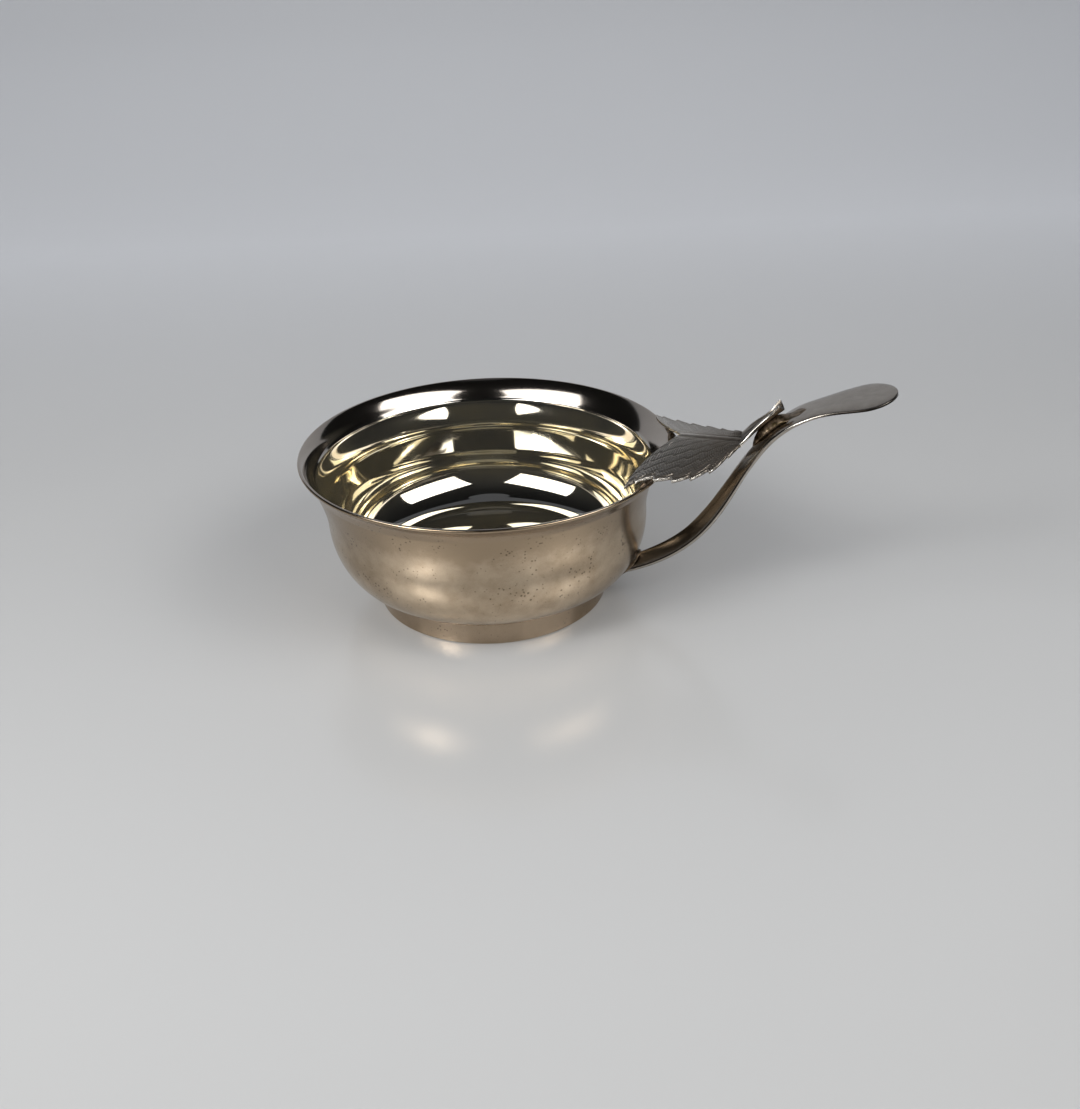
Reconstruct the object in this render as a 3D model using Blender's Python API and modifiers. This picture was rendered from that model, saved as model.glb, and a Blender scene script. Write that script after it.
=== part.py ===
"""Silver dish with a leaf handle, built the way a silversmith builds one.

A raised bowl stands on a foot ring. A forged strap leaves the bowl's wall, sweeps up past the rim
and ends in a flat thumb piece. A chased leaf bridges from the strap to the rim, where its two lobes
lie. Nothing moves: every joint is hard solder, and each run of solder is an object of its own.

Metres, +Z up. The handle points along +X, and the origin is on the table under the middle of the
whole object. Pieces are drawn around the bowl's axis and hang from the empty bowl_axis.
"""

from math import copysign, cos, hypot, pi, radians, sin, sqrt, tan

import bmesh
import bpy
from mathutils import Vector
from mathutils.geometry import interpolate_bezier

MM = 0.001

# Bowl: a lip, a belly and a rounded bottom, drawn as the middle line of its sheet.
RIM_RADIUS = 50.0 * MM
RIM_HEIGHT = 43.2 * MM
BELLY_RADIUS = 43.5 * MM
BELLY_HEIGHT = 28.0 * MM
BASE_RADIUS = 31.0 * MM
BOWL_SHEET = 1.0 * MM
LIP_POWER = 2.2
BOWL_STEPS = 68

# Foot ring, a plain band under the bowl.
FOOT_RADIUS = 31.8 * MM
FOOT_HEIGHT = 7.0 * MM
FOOT_WALL = 1.8 * MM
FOOT_ROUNDING = 0.4 * MM

# Strap handle: width and thickness of the bar, of its neck and of the thumb piece.
ROOT_HEIGHT = 9.7 * MM
ROOT_ANGLE = radians(17)
ROOT_EMBED = 3.0 * MM
HANDLE_REACH = 54.0 * MM
HANDLE_RISE = 21.6 * MM
ROOT_TAPER = 0.66
STRAP_WIDTH = 6.8 * MM
STRAP_THICKNESS = 2.6 * MM
RIDGE_HEIGHT = 0.8 * MM
NECK_WIDTH = 12.0 * MM
THUMB_WIDTH = 17.2 * MM
THUMB_THICKNESS = 1.5 * MM
THUMB_ROUND = 7.6 * MM

# Leaf: its blade rests on the rim by two lobes, its stalk lies along the strap.
LEAF_SHEET = 1.0 * MM
LEAF_RISE = 6.6 * MM
LEAF_NOTCH = 2.3 * MM
LEAF_FALL = 0.25
LEAF_FOLD = 0.067
LEAF_CREST = 3.0 * MM
LOBE_ANGLE = radians(29)
LOBE_INSET = 2.0 * MM
LOBE_BOW = 1.5 * MM
SHOULDER_WIDTH = 36.8 * MM
TOOTH_DEPTH = 1.6 * MM
STALK_WIDTH = 6.8 * MM
STALK_WAIST = 2.6 * MM
STALK_MOUTH = 4.0 * MM
STALK_CHANNEL = 1.0 * MM
STALK_LIFT = 0.4 * MM
STALK_RISE = 0.9 * MM
STALK_START = 0.59
STALK_END = 0.72

# Solder runs, and the gap left between pieces that touch on the real object.
GAP = 0.3 * MM
FILLET = 1.5 * MM
BEAD = 0.5 * MM
PAD = 1.2 * MM

TEETH = 5
ROWS_PER_TOOTH = 7
BLADE_ROWS = 42
FIRST_TOOTH_ROW = 4
STALK_ROWS = 9
LEAF_COLUMNS = 16
STRAP_SIDES = 20
BEAD_STEPS = 14
ROOT_BEAD_STEPS = 32


def clear_scene():
    for item in list(bpy.data.objects):
        bpy.data.objects.remove(item, do_unlink=True)


def new_collection(name):
    collection = bpy.data.collections.new(name)
    bpy.context.scene.collection.children.link(collection)
    return collection


def metal(name, colour, roughness):
    material = bpy.data.materials.new(name)
    material.use_nodes = True
    shader = material.node_tree.nodes["Principled BSDF"]
    shader.inputs["Base Color"].default_value = (*colour, 1)
    shader.inputs["Metallic"].default_value = 1
    shader.inputs["Roughness"].default_value = roughness
    material.diffuse_color = (*colour, 1)
    return material


def add_object(name, data, collection, parent, material=None):
    item = bpy.data.objects.new(name, data)
    collection.objects.link(item)
    item.parent = parent
    if material:
        data.materials.append(material)
    return item


def smooth(mesh):
    mesh.polygons.foreach_set("use_smooth", [True] * len(mesh.polygons))


def step_up(low, high, value):
    """0 up to low, 1 from high on, and an S-shaped rise between."""
    part = min(max((value - low) / (high - low), 0), 1)
    return part * part * (3 - 2 * part)


def turned(name, profile, collection, parent, material=None, closed=False):
    """A profile of (radius, height) pairs, swept about Z by a Screw modifier."""
    mesh = bpy.data.meshes.new(name)
    ends = [(i, i + 1) for i in range(len(profile) - 1)]
    if closed:
        ends.append((len(profile) - 1, 0))
    mesh.from_pydata([(radius, 0, height) for radius, height in profile], ends, [])
    item = add_object(name, mesh, collection, parent, material)
    screw = item.modifiers.new("Turn", "SCREW")
    screw.axis = "Z"
    screw.angle = 2 * pi
    screw.steps = screw.render_steps = BOWL_STEPS
    screw.use_merge_vertices = True
    screw.merge_threshold = 0.00001
    screw.use_smooth_shade = True
    return item


def bowl_line():
    """The middle of the bowl's sheet, from the rim down the wall to the axis."""
    half = BOWL_SHEET / 2
    rim = RIM_RADIUS - half
    belly = BELLY_RADIUS - half
    top = RIM_HEIGHT - half
    bottom = FOOT_HEIGHT + half
    line = []
    for i in range(8):
        part = 1 - i / 8
        height = BELLY_HEIGHT + (top - BELLY_HEIGHT) * part
        line.append(Vector((belly + (rim - belly) * part**LIP_POWER, height)))
    for i in range(12):
        angle = pi / 2 * i / 11
        radius = BASE_RADIUS + (belly - BASE_RADIUS) * cos(angle)
        line.append(Vector((radius, BELLY_HEIGHT - (BELLY_HEIGHT - bottom) * sin(angle))))
    line.append(Vector((0, bottom)))
    return line


def bowl_offset(distance):
    """bowl_line moved outwards by a distance, or inwards by a negative one."""
    line = bowl_line()
    moved = []
    for i, point in enumerate(line):
        along = line[min(i + 1, len(line) - 1)] - line[max(i - 1, 0)]
        if i >= len(line) - 2:
            along = Vector((-1, 0))
        along.normalize()
        moved.append(point + distance * Vector((-along.y, along.x)))
    return moved


def wall_radius(height, clearance):
    """Radius of the bowl's outside at a height below the belly, plus a clearance."""
    line = bowl_offset(BOWL_SHEET / 2 + clearance)
    for upper, lower in zip(line, line[1:]):
        if lower.y <= height <= upper.y:
            part = (upper.y - height) / max(upper.y - lower.y, 1e-9)
            return upper.x + (lower.x - upper.x) * part
    return BASE_RADIUS


def make_bowl(collection, parent, material):
    half = BOWL_SHEET / 2
    outside = bowl_offset(half)
    inside = bowl_offset(-half)
    centre = bowl_line()[0]
    across = inside[0] - centre
    beyond = Vector((across.y, -across.x))
    lip = []
    for i in range(1, 4):
        angle = pi * i / 4
        lip.append(centre + across * cos(angle) + beyond * sin(angle))
    profile = inside[::-1] + lip + outside
    return turned("bowl", [tuple(p) for p in profile], collection, parent, material)


def make_foot_ring(collection, parent, material):
    inner = FOOT_RADIUS - FOOT_WALL
    top = FOOT_HEIGHT - GAP
    profile = [(inner, 0), (inner, top), (FOOT_RADIUS - GAP, top), (FOOT_RADIUS, 0)]
    ring = turned("foot_ring", profile, collection, parent, material, closed=True)
    bevel = ring.modifiers.new("Soft edges", "BEVEL")
    bevel.width = FOOT_ROUNDING
    bevel.segments = 2
    bevel.limit_method = "ANGLE"
    bevel.angle_limit = radians(50)
    return ring


def make_foot_solder(collection, parent, material):
    """A fillet in the corner between the foot ring's inside and the bowl's underside."""
    outer = FOOT_RADIUS - FOOT_WALL - GAP
    top = FOOT_HEIGHT - GAP
    profile = [(outer, top)]
    for i in range(5):
        angle = pi / 2 * i / 4
        profile.append((outer - FILLET * (1 - sin(angle)), top - FILLET * (1 - cos(angle))))
    profile[1:] = profile[:0:-1]
    return turned("foot_solder", profile, collection, parent, material, closed=True)


def heading(angle):
    return Vector((cos(angle), 0, sin(angle)))


def strap_path():
    """Middle line of the strap in the XZ plane, from inside the bowl's wall to the thumb piece's end."""
    root = Vector((wall_radius(ROOT_HEIGHT, 0), 0, ROOT_HEIGHT)) - ROOT_EMBED * heading(ROOT_ANGLE)
    sweep = Vector((RIM_RADIUS + 0.312 * HANDLE_REACH, 0, RIM_HEIGHT - 0.212 * HANDLE_RISE))
    crown = Vector((RIM_RADIUS + 0.6 * HANDLE_REACH, 0, RIM_HEIGHT + 0.68 * HANDLE_RISE))
    tip = Vector((RIM_RADIUS + HANDLE_REACH, 0, RIM_HEIGHT + HANDLE_RISE))
    knots = [
        (root, ROOT_ANGLE, 0, 0.44),
        (sweep, radians(63.5), 0.32, 0.44),
        (crown, radians(28), 0.29, 0.30),
        (tip, radians(14), 0.30, 0),
    ]
    points = []
    for (start, leave, _, reach_out), (end, arrive, reach_in, _) in zip(knots, knots[1:]):
        span = (end - start).length
        first = start + reach_out * span * heading(leave)
        second = end - reach_in * span * heading(arrive)
        points += interpolate_bezier(start, first, second, end, 40)[bool(points):]
    return points


def on_strap(fraction):
    """(point, direction, normal) at a fraction of the strap's length; the normal points to its top."""
    points = strap_path()
    lengths = [(b - a).length for a, b in zip(points, points[1:])]
    wanted = fraction * sum(lengths)
    for a, b, length in zip(points, points[1:], lengths):
        if wanted <= length or b is points[-1]:
            direction = (b - a).normalized()
            return a + direction * wanted, direction, Vector((-direction.z, 0, direction.x))
        wanted -= length


def strap_length():
    points = strap_path()
    return sum((b - a).length for a, b in zip(points, points[1:]))


def taper(fraction):
    """The bar is drawn down towards its root."""
    return ROOT_TAPER + (1 - ROOT_TAPER) * step_up(0, 0.35, fraction)


def strap_thickness(fraction):
    thinned = step_up(0.55, 0.8, fraction)
    return taper(fraction) * STRAP_THICKNESS + (THUMB_THICKNESS - STRAP_THICKNESS) * thinned


def ridge_height(fraction):
    return taper(fraction) * RIDGE_HEIGHT * (1 - step_up(0.4, 0.72, fraction))


def bar_outline(angle):
    """A unit outline between an ellipse and a box, the section of a bar with rounded edges."""
    across = copysign(abs(cos(angle)) ** 0.55, cos(angle))
    return across, copysign(abs(sin(angle)) ** 0.75, sin(angle))


def strap_section(fraction, closing=1.0):
    """One section of the strap: a rounded bar whose low ridge dies out as the bar widens and thins."""
    point, _, normal = on_strap(fraction)
    width = STRAP_WIDTH * taper(fraction)
    width += (NECK_WIDTH - STRAP_WIDTH) * step_up(0.5, 0.75, fraction)
    width += (THUMB_WIDTH - NECK_WIDTH) * step_up(0.79, 0.93, fraction)
    ridge_half = STRAP_WIDTH / 2 * taper(fraction) * (1 - 0.7 * step_up(0.5, 0.72, fraction))
    ring = []
    for i in range(STRAP_SIDES):
        across, up = bar_outline(2 * pi * (i + 0.5) / STRAP_SIDES)
        side = across * width / 2 * closing
        rise = up * strap_thickness(fraction) / 2 * (0.55 + 0.45 * closing)
        if up > 0 and abs(side) < ridge_half:
            rise += ridge_height(fraction) * (1 - (side / ridge_half) ** 2) ** 2
        ring.append(point + Vector((0, side, 0)) + normal * rise)
    return ring


def make_strap(collection, parent, material, cutter):
    """A loft through the strap's sections, cut at its root to sit against the bowl's wall."""
    round_part = THUMB_ROUND / strap_length()
    rings = [strap_section(i / 44 * (1 - round_part)) for i in range(45)]
    for i in range(1, 7):
        angle = radians(83) * i / 6
        rings.append(strap_section(1 - round_part * (1 - sin(angle)), cos(angle)))
    mesh = bpy.data.meshes.new("handle_strap")
    shape = bmesh.new()
    loops = [[shape.verts.new(p) for p in ring] for ring in rings]
    for low, high in zip(loops, loops[1:]):
        for i in range(STRAP_SIDES):
            j = (i + 1) % STRAP_SIDES
            shape.faces.new((low[i], low[j], high[j], high[i]))
    shape.faces.new(loops[0])
    shape.faces.new(loops[-1])
    bmesh.ops.recalc_face_normals(shape, faces=shape.faces)
    shape.to_mesh(mesh)
    shape.free()
    smooth(mesh)
    strap = add_object("handle_strap", mesh, collection, parent, material)
    cut = strap.modifiers.new("Fit to wall", "BOOLEAN")
    cut.operation = "DIFFERENCE"
    cut.solver = "EXACT"
    cut.object = cutter
    return strap


def make_wall_cutter(collection, parent):
    """The bowl below its belly as a solid, larger by the gap, to shape the strap's root."""
    line = [p for p in bowl_offset(BOWL_SHEET / 2 + GAP) if p.y <= BELLY_HEIGHT + BOWL_SHEET]
    profile = [(0, line[0].y)] + [tuple(p) for p in line]
    cutter = turned("wall_cutter", profile, collection, parent)
    cutter.hide_render = True
    cutter.display_type = "WIRE"
    return cutter


def make_root_solder(collection, parent, material):
    """A bead that runs round the strap's root, lying on the bowl's wall."""
    clear = GAP + BEAD
    bead = new_bead("strap_root_solder", BEAD, collection, parent, material)
    spline = bead.data.splines.new("POLY")
    spline.use_cyclic_u = True
    spline.points.add(ROOT_BEAD_STEPS - 1)
    up = Vector((-sin(ROOT_ANGLE), 0, cos(ROOT_ANGLE)))
    root_size = taper(0.12)
    for i, point in enumerate(spline.points):
        across, rise = bar_outline(2 * pi * (i + 0.5) / ROOT_BEAD_STEPS)
        side = across * (root_size * STRAP_WIDTH / 2 + clear)
        lift = rise * (root_size * STRAP_THICKNESS / 2 + clear) + root_size * RIDGE_HEIGHT * max(rise, 0)
        place = Vector((wall_radius(ROOT_HEIGHT, 0), side, ROOT_HEIGHT)) + up * lift
        height = place.z
        for _ in range(12):
            reach = sqrt(wall_radius(height, clear) ** 2 - side**2)
            height = place.z + (reach - place.x) * tan(ROOT_ANGLE)
        point.co = (reach, side, height, 1)
    return bead


def new_bead(name, radius, collection, parent, material):
    curve = bpy.data.curves.new(name, "CURVE")
    curve.dimensions = "3D"
    curve.bevel_depth = radius
    curve.bevel_resolution = 2
    curve.use_fill_caps = True
    return add_object(name, curve, collection, parent, material)


def make_lobe_solder(name, side, collection, parent, material):
    """A bead on the rim under one lobe of the leaf, thinner towards its ends."""
    bead = new_bead(name, BEAD, collection, parent, material)
    spline = bead.data.splines.new("POLY")
    spline.points.add(BEAD_STEPS)
    for i, point in enumerate(spline.points):
        part = i / BEAD_STEPS
        angle = side * LOBE_ANGLE * (0.66 + 0.24 * part)
        reach = RIM_RADIUS - BOWL_SHEET / 2
        height = RIM_HEIGHT + GAP + BEAD
        point.co = (reach * cos(angle), reach * sin(angle), height, 1)
        point.radius = 0.35 + 0.65 * sin(pi * part)
    return bead


def make_stalk_solder(collection, parent, material):
    """A run of solder along the strap's ridge, under the leaf's stalk, thinner towards its ends."""
    bead = new_bead("stalk_solder", PAD / 2, collection, parent, material)
    spline = bead.data.splines.new("POLY")
    spline.points.add(BEAD_STEPS)
    for i, point in enumerate(spline.points):
        part = i / BEAD_STEPS
        fraction = STALK_START + (STALK_END - STALK_START) * (0.12 + 0.83 * part)
        middle, _, normal = on_strap(fraction)
        lift = strap_thickness(fraction) / 2 + ridge_height(fraction) + GAP + PAD / 2
        point.co = (*(middle + normal * lift), 1)
        point.radius = 0.45 + 0.55 * sin(pi * part)
    return bead


def stalk_point(part):
    """(point, normal) on the stalk's middle line: part is 0 at the blade and 1 at the free end."""
    fraction = STALK_START + (STALK_END - STALK_START) * part
    point, _, normal = on_strap(fraction)
    lift = strap_thickness(fraction) / 2 + ridge_height(fraction)
    lift += 2 * GAP + PAD + LEAF_SHEET / 2 + STALK_RISE * (1 - part) ** 3 + STALK_LIFT * part**3
    return point + normal * lift, normal


def stalk_half_width(part):
    narrowed = STALK_WIDTH + (STALK_WAIST - STALK_WIDTH) * step_up(0, 0.75, part)
    return (narrowed + (STALK_MOUTH - STALK_WAIST) * step_up(0.75, 1, part)) / 2


def margin_point(row, base):
    """Edge of the blade beside a row: it swells out to a shoulder, with teeth, then runs out to the lobe's tip."""
    part = row / BLADE_ROWS
    reach = RIM_RADIUS - LOBE_INSET
    tip = Vector((reach * cos(LOBE_ANGLE), reach * sin(LOBE_ANGLE)))
    start = stalk_half_width(0)
    along = base + (tip.x - base) * part
    shoulder = SHOULDER_WIDTH / 2
    across = start + (shoulder - start) * (1 - (1 - part) ** 3.6) + (tip.y - shoulder) * part**9
    tooth_row = row - FIRST_TOOTH_ROW
    if 0 <= tooth_row < TEETH * ROWS_PER_TOOTH:
        across += TOOTH_DEPTH * ((tooth_row % ROWS_PER_TOOTH) / (ROWS_PER_TOOTH - 1) - 0.6)
    return along, across


def leaf_fall(along, side):
    """How far the blade hangs below its crest. It is folded more steeply outside the rim than over it."""
    outside = step_up(RIM_RADIUS - LEAF_RISE, RIM_RADIUS + LEAF_RISE, along)
    return (LEAF_FALL + LEAF_FOLD * outside) * (hypot(side, LEAF_CREST) - LEAF_CREST)


def leaf_point(row, column):
    """A point of the leaf's middle surface; rows run from the stalk's free end to the inner edge of the lobes."""
    part_across = 2 * column / LEAF_COLUMNS - 1
    if row <= STALK_ROWS:
        part = 1 - row / STALK_ROWS
        point, normal = stalk_point(part)
        side = stalk_half_width(part) * part_across
        fall = leaf_fall(point.x, side) * (1 - step_up(0, 0.5, part))
        channel = STALK_CHANNEL * step_up(0.2, 1, part) * part_across**2
        return point + Vector((0, side, 0)) + normal * (channel - fall)
    base, _ = stalk_point(0)
    blade_row = row - STALK_ROWS
    part = blade_row / BLADE_ROWS
    notch = RIM_RADIUS + LEAF_NOTCH
    middle = base.x + (notch - base.x) * part
    edge_along, edge_across = margin_point(blade_row, base.x)
    out = abs(part_across)
    along = middle + (edge_along - middle) * out - LOBE_BOW * 4 * out * (1 - out) * part**3
    side = edge_across * part_across
    crest = RIM_HEIGHT + LEAF_RISE
    height = crest + (base.z - crest) * (along - notch) / (base.x - notch)
    return Vector((along, side, height - leaf_fall(along, side)))


def make_leaf(collection, parent, material):
    """A grid shaped into blade and stalk by leaf_point, given its thickness by Solidify."""
    mesh = bpy.data.meshes.new("leaf")
    rows = STALK_ROWS + BLADE_ROWS
    shape = bmesh.new()
    bmesh.ops.create_grid(shape, x_segments=rows, y_segments=LEAF_COLUMNS, size=1)
    for vertex in shape.verts:
        row = round((vertex.co.x + 1) / 2 * rows)
        column = round((vertex.co.y + 1) / 2 * LEAF_COLUMNS)
        vertex.co = leaf_point(row, column)
    bmesh.ops.reverse_faces(shape, faces=shape.faces)
    shape.to_mesh(mesh)
    shape.free()
    smooth(mesh)
    leaf = add_object("leaf", mesh, collection, parent, material)
    sheet = leaf.modifiers.new("Sheet", "SOLIDIFY")
    sheet.thickness = LEAF_SHEET
    sheet.offset = 0
    sheet.use_even_offset = True
    return leaf


def main():
    clear_scene()
    dish = new_collection("silver_dish")
    cutters = new_collection("cutters")
    axis = bpy.data.objects.new("bowl_axis", None)
    dish.objects.link(axis)
    axis.location = (-HANDLE_REACH / 2, 0, 0)

    satin = metal("satin_silver", (0.60, 0.54, 0.47), 0.32)
    foot_silver = metal("worn_silver", (0.52, 0.46, 0.40), 0.38)
    forged = metal("forged_silver", (0.50, 0.47, 0.43), 0.28)
    oxidised = metal("oxidised_silver", (0.26, 0.25, 0.24), 0.40)
    solder = metal("hard_solder", (0.44, 0.42, 0.36), 0.50)

    make_bowl(dish, axis, satin)
    make_foot_ring(dish, axis, foot_silver)
    make_foot_solder(dish, axis, solder)
    make_strap(dish, axis, forged, make_wall_cutter(cutters, axis))
    make_root_solder(dish, axis, solder)
    make_leaf(dish, axis, oxidised)
    make_lobe_solder("leaf_solder_front", -1, dish, axis, solder)
    make_lobe_solder("leaf_solder_back", 1, dish, axis, solder)
    make_stalk_solder(dish, axis, solder)


main()
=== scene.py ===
"""Looks of a silver dish with a leaf handle, laid out as an add-on and run as a script.

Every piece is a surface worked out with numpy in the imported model's frame, in metres: turned profiles for
the bowl and its foot, a bar carried along a path for the strap, a folded sheet for the leaf, and uneven
beads for the solder. Each finish is a node material on Object coordinates or on a piece's own attribute.
"""

from functools import partial

import bmesh
import bpy
import numpy as np
from bpy.types import Operator, Panel, PropertyGroup
from mathutils import Matrix, Vector


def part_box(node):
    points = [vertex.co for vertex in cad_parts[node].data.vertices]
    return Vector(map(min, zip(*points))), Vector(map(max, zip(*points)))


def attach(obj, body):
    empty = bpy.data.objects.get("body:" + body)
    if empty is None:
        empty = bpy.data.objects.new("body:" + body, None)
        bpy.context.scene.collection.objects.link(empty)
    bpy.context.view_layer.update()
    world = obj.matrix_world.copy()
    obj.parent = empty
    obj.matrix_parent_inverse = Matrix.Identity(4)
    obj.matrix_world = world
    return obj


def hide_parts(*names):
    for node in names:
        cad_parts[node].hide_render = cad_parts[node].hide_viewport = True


bl_info = {
    "name": "Silver dish",
    "version": (1, 0, 0),
    "blender": (4, 5, 0),
    "location": "3D View > Sidebar > Dish",
    "description": "Makes the surfaces, finishes and stage of a silver dish with a leaf handle",
    "category": "Object",
}

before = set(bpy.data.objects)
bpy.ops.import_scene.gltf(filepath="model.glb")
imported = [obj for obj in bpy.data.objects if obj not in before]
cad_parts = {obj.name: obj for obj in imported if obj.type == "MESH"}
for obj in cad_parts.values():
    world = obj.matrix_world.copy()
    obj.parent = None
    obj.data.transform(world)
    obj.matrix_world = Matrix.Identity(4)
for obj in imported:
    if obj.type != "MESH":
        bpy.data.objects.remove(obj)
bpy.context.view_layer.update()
BOWL_LOW, BOWL_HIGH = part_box("bowl")

MM = 0.001
AXIS_X = (BOWL_LOW.x + BOWL_HIGH.x) / 2
# Direction across the handle.
SIDEWAYS = np.array([0, 1, 0])
# Clear space between neighbouring pieces.
PIECE_GAP = 0.3 * MM
# Steps round a turned piece.
AROUND = 240
# Slope of the strap where it leaves the wall.
ROOT_SLOPE = np.radians(17)
# Size of the photograph's frame in pixels.
PHOTO_COLUMNS, PHOTO_ROWS = 1080, 1109
# Soft boxes: degrees beside the camera, degrees above the table, size in metres and power in watts.
SOFT_BOXES = (
    (-53, 42, (0.53, 0.31), 1.52),
    (53, 42, (0.53, 0.31), 1.52),
    (-50, 38, (0.16, 0.16), 1.0),
    (56, 40, (0.16, 0.16), 0.35),
)
# What add_node takes for a Mix of two colours, and for a Map Range with soft ends.
COLOURS = {"data_type": "RGBA", "output": 2}
SOFT = {"interpolation_type": "SMOOTHSTEP"}


def length(name, description, default):
    """A size in metres that a user may change."""
    return bpy.props.FloatProperty(
        name=name, description=description, default=default, unit="LENGTH", precision=5
    )


def number(name, description, default):
    """A ratio, or a measure in pixels."""
    return bpy.props.FloatProperty(name=name, description=description, default=default, precision=4)


def degrees(name, description, default):
    """An angle that a user may change, given in degrees."""
    return bpy.props.FloatProperty(
        name=name, description=description, default=np.radians(default), subtype="ANGLE"
    )


def linear(hex_code):
    """Linear RGBA from an sRGB hex value."""
    shown = np.array([int(hex_code[i:i + 2], 16) for i in (0, 2, 4)]) / 255
    light = np.where(shown <= 0.04045, shown / 12.92, ((shown + 0.055) / 1.055) ** 2.4)
    return (*light.tolist(), 1.0)


def colour(name, description, hex_code):
    """A colour that a user may change, given as an sRGB hex value."""
    return bpy.props.FloatVectorProperty(
        name=name, description=description, default=linear(hex_code), size=4, subtype="COLOR", min=0, max=1
    )


class DishBowlSizes(PropertyGroup):
    """Sizes of the raised bowl and the foot ring under it."""

    rim_radius: length("Rim radius", "Outside radius at the rim", (BOWL_HIGH.x - BOWL_LOW.x) / 2)
    rim_height: length("Rim height", "Height of the rim above the table", BOWL_HIGH.z)
    foot_height: length("Foot height", "Height of the bowl's underside", BOWL_LOW.z)
    neck_radius: length("Neck radius", "Middle radius of the narrowest place, under the lip", 42.9 * MM)
    neck_height: length("Neck height", "Height of that neck outside", 25 * MM)
    neck_inside: length("Neck inside", "Height of that neck inside", 29.5 * MM)
    lean: degrees("Lean", "How far the inside of the wall leans in from belly to neck", 4.3)
    corner_outside: length("Corner outside", "Height of the round corner between bottom and belly", 17 * MM)
    corner_inside: length("Corner inside", "The same inside the bowl", 14.5 * MM)
    base_radius: length("Base radius", "Radius of the flat bottom", 31 * MM)
    sheet: length("Sheet", "Thickness of the bowl's sheet", 1 * MM)
    crease_radius: length("Crease radius", "Middle radius of the crease under the lip", 45.7 * MM)
    crease_height: length("Crease height", "Height of the crease under the lip", 37.9 * MM)
    crease_ridge: length("Crease ridge", "Height of the low ridge on the crease, inside", 0.1 * MM)
    crease_shift: length("Crease shift", "How far the crease lies off the bowl's axis", 0.7 * MM)
    foot_radius: length("Foot radius", "Outside radius of the foot ring", 31.8 * MM)
    foot_wall: length("Foot wall", "Thickness of the foot ring", 1.8 * MM)


class DishStrapSizes(PropertyGroup):
    """Sizes of the forged strap."""

    root_height: length("Root height", "Height where the strap meets the wall", 9.7 * MM)
    root_reach: length("Root reach", "Distance of that place from the bowl's axis", 37.15 * MM)
    root_taper: number("Root taper", "Size of the bar at its root, as a share of the full bar", 0.66)
    reach: length("Reach", "How far the handle stands out past the rim", 54 * MM)
    rise: length("Rise", "How far the handle's end stands above the rim", 21.6 * MM)
    width: length("Width", "Width of the bar", 6.8 * MM)
    thickness: length("Thickness", "Thickness of the bar", 2.6 * MM)
    ridge: length("Ridge", "Height of the low ridge along the top", 0.8 * MM)
    keel: length("Keel", "Extra depth of the half-round bar below its middle line", 0.5 * MM)
    neck_width: length("Neck width", "Width at the neck", 12 * MM)
    thumb_width: length("Thumb width", "Width of the thumb piece", 17.2 * MM)
    thumb_thickness: length("Thumb thickness", "Thickness of the thumb piece", 1.5 * MM)
    thumb_round: length("Thumb round", "Length of the rounded end", 7.6 * MM)


class DishLeafSizes(PropertyGroup):
    """Sizes of the chased leaf and its stalk."""

    sheet: length("Sheet", "Thickness of the leaf", 1 * MM)
    rise: length("Rise", "Height of the crest above the rim, at the notch", 6.6 * MM)
    notch: length("Notch", "Distance of the notch outside the rim", 2.3 * MM)
    fall: number("Fall", "Slope of the blade over the rim", 0.25)
    fold: number("Fold", "Extra slope of the blade outside the rim", 0.067)
    crest: length("Crest", "Half width of the rounded crest", 3 * MM)
    lobe_angle: degrees("Lobe angle", "Where a lobe ends on the rim", 29)
    lobe_inset: length("Lobe inset", "Distance of a lobe's end inside the rim", 2 * MM)
    lobe_bow: length("Lobe bow", "How far a lobe's inner edge bows", 1.5 * MM)
    shoulder: length("Shoulder", "Width of the blade at its shoulders", 36.8 * MM)
    tooth: length("Tooth", "Depth of a tooth", 1.6 * MM)
    vein: length("Vein", "Depth of a chased vein", 0.14 * MM)
    stalk_width: length("Stalk width", "Width of the stalk at the blade", 8.2 * MM)
    stalk_waist: length("Stalk waist", "Least width of the stalk", 2.6 * MM)
    stalk_mouth: length("Stalk mouth", "Width of the stalk's open end", 4 * MM)
    stalk_channel: length("Stalk channel", "Depth of the stalk's channel", 1 * MM)
    stalk_lift: length("Stalk lift", "How far the open end lifts off the strap", 0.4 * MM)
    stalk_rise: length("Stalk rise", "How far the stalk lifts towards the blade", 0.9 * MM)
    stalk_start: number("Stalk start", "Where the stalk starts along the strap", 0.59)
    stalk_end: number("Stalk end", "Where the stalk ends along the strap", 0.72)
    pad: length("Pad", "Thickness of the solder under the stalk", 1.2 * MM)


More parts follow.
